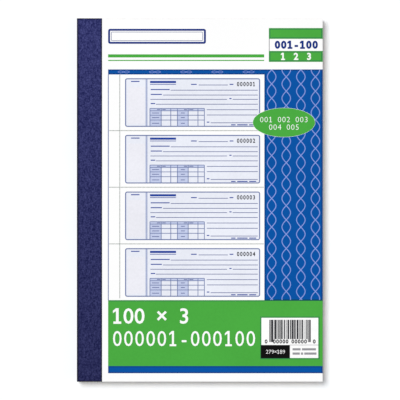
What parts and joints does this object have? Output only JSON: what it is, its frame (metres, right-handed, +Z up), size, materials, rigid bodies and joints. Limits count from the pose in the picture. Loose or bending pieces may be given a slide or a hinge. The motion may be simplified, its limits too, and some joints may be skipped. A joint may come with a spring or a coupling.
{
  "type": "receipt book",
  "caption": "Tape-bound receipt book with card covers, stapled leaves in white, yellow and pink, perforated tear-off receipts and a loose writing shield.",
  "frame": {"origin": "under the middle of the closed book, on the surface that it lies on", "axes": "+X from the bound edge to the fore-edge, +Y from the foot of the page to its head, +Z up"},
  "size_m": [0.189, 0.2794, 0.0093],
  "materials": {
    "binding_tape": "navy leatherette cloth tape",
    "cover_card": "white coated card, printed",
    "back_card": "plain grey board",
    "shield_card": "buff manila card",
    "white_paper": "uncoated carbonless paper",
    "yellow_paper": "uncoated carbonless paper",
    "pink_paper": "uncoated carbonless paper",
    "staple_wire": "flat stitching wire"
  },
  "bodies": {
    "bound_block": {"spine_tape": "binding_tape", "staples": "staple_wire", "front_cover_bound_strip": "cover_card", "back_cover_bound_strip": "back_card", "white_bound_strip": "white_paper", "yellow_bound_strip": "yellow_paper", "pink_bound_strip": "pink_paper", "white_leaves": "white_paper", "yellow_leaves": "yellow_paper", "pink_leaves": "pink_paper"},
    "pink_copy": {"pink_leaf": "pink_paper"},
    "yellow_copy": {"yellow_stub": "yellow_paper"},
    "white_original": {"white_stub": "white_paper"},
    "front_cover": {"front_cover": "cover_card", "front_tape_flap": "binding_tape"},
    "back_cover": {"back_cover": "back_card", "back_tape_flap": "binding_tape"},
    "writing_shield": {"writing_shield": "shield_card"},
    "white_receipt_1": {"white_receipt_1": "white_paper"},
    "white_receipt_2": {"white_receipt_2": "white_paper"},
    "white_receipt_3": {"white_receipt_3": "white_paper"},
    "white_receipt_4": {"white_receipt_4": "white_paper"},
    "yellow_receipt_1": {"yellow_receipt_1": "yellow_paper"},
    "yellow_receipt_2": {"yellow_receipt_2": "yellow_paper"},
    "yellow_receipt_3": {"yellow_receipt_3": "yellow_paper"},
    "yellow_receipt_4": {"yellow_receipt_4": "yellow_paper"}
  },
  "joints": [
    {"name": "set_turn", "type": "hinge", "parent": "bound_block", "child": "pink_copy", "pos_m": [-0.0818, 0, 0.00932], "axis": [0, -1, 0], "range_deg": [0, 160]},
    {"name": "yellow_fan", "type": "hinge", "parent": "pink_copy", "child": "yellow_copy", "pos_m": [-0.0818, 0, 0.00932], "axis": [0, -1, 0], "range_deg": [0, 10]},
    {"name": "white_fan", "type": "hinge", "parent": "yellow_copy", "child": "white_original", "pos_m": [-0.0818, 0, 0.00932], "axis": [0, -1, 0], "range_deg": [0, 10]},
    {"name": "front_cover_turn", "type": "hinge", "parent": "white_original", "child": "front_cover", "pos_m": [-0.0818, 0, 0.00932], "axis": [0, 1, 0], "range_deg": [-180, 0]},
    {"name": "back_cover_turn", "type": "hinge", "parent": "bound_block", "child": "back_cover", "pos_m": [-0.0818, 0, -0.00001], "axis": [0, -1, 0], "range_deg": [-180, 0]},
    {"name": "shield_pull", "type": "slide", "parent": "bound_block", "child": "writing_shield", "axis": [1, 0, 0], "range_m": [0, 0.18]},
    {"name": "white_tear_1", "type": "slide", "parent": "white_original", "child": "white_receipt_1", "axis": [1, 0, 0], "range_m": [0, 0.18]},
    {"name": "white_tear_2", "type": "slide", "parent": "white_original", "child": "white_receipt_2", "axis": [1, 0, 0], "range_m": [0, 0.18]},
    {"name": "white_tear_3", "type": "slide", "parent": "white_original", "child": "white_receipt_3", "axis": [1, 0, 0], "range_m": [0, 0.18]},
    {"name": "white_tear_4", "type": "slide", "parent": "white_original", "child": "white_receipt_4", "axis": [1, 0, 0], "range_m": [0, 0.18]},
    {"name": "yellow_tear_1", "type": "slide", "parent": "yellow_copy", "child": "yellow_receipt_1", "axis": [1, 0, 0], "range_m": [0, 0.18]},
    {"name": "yellow_tear_2", "type": "slide", "parent": "yellow_copy", "child": "yellow_receipt_2", "axis": [1, 0, 0], "range_m": [0, 0.18]},
    {"name": "yellow_tear_3", "type": "slide", "parent": "yellow_copy", "child": "yellow_receipt_3", "axis": [1, 0, 0], "range_m": [0, 0.18]},
    {"name": "yellow_tear_4", "type": "slide", "parent": "yellow_copy", "child": "yellow_receipt_4", "axis": [1, 0, 0], "range_m": [0, 0.18]}
  ],
  "couplings": [
    {"joint": "yellow_fan", "follows": "set_turn", "ratio": 0.0625},
    {"joint": "white_fan", "follows": "set_turn", "ratio": 0.0625}
  ]
}
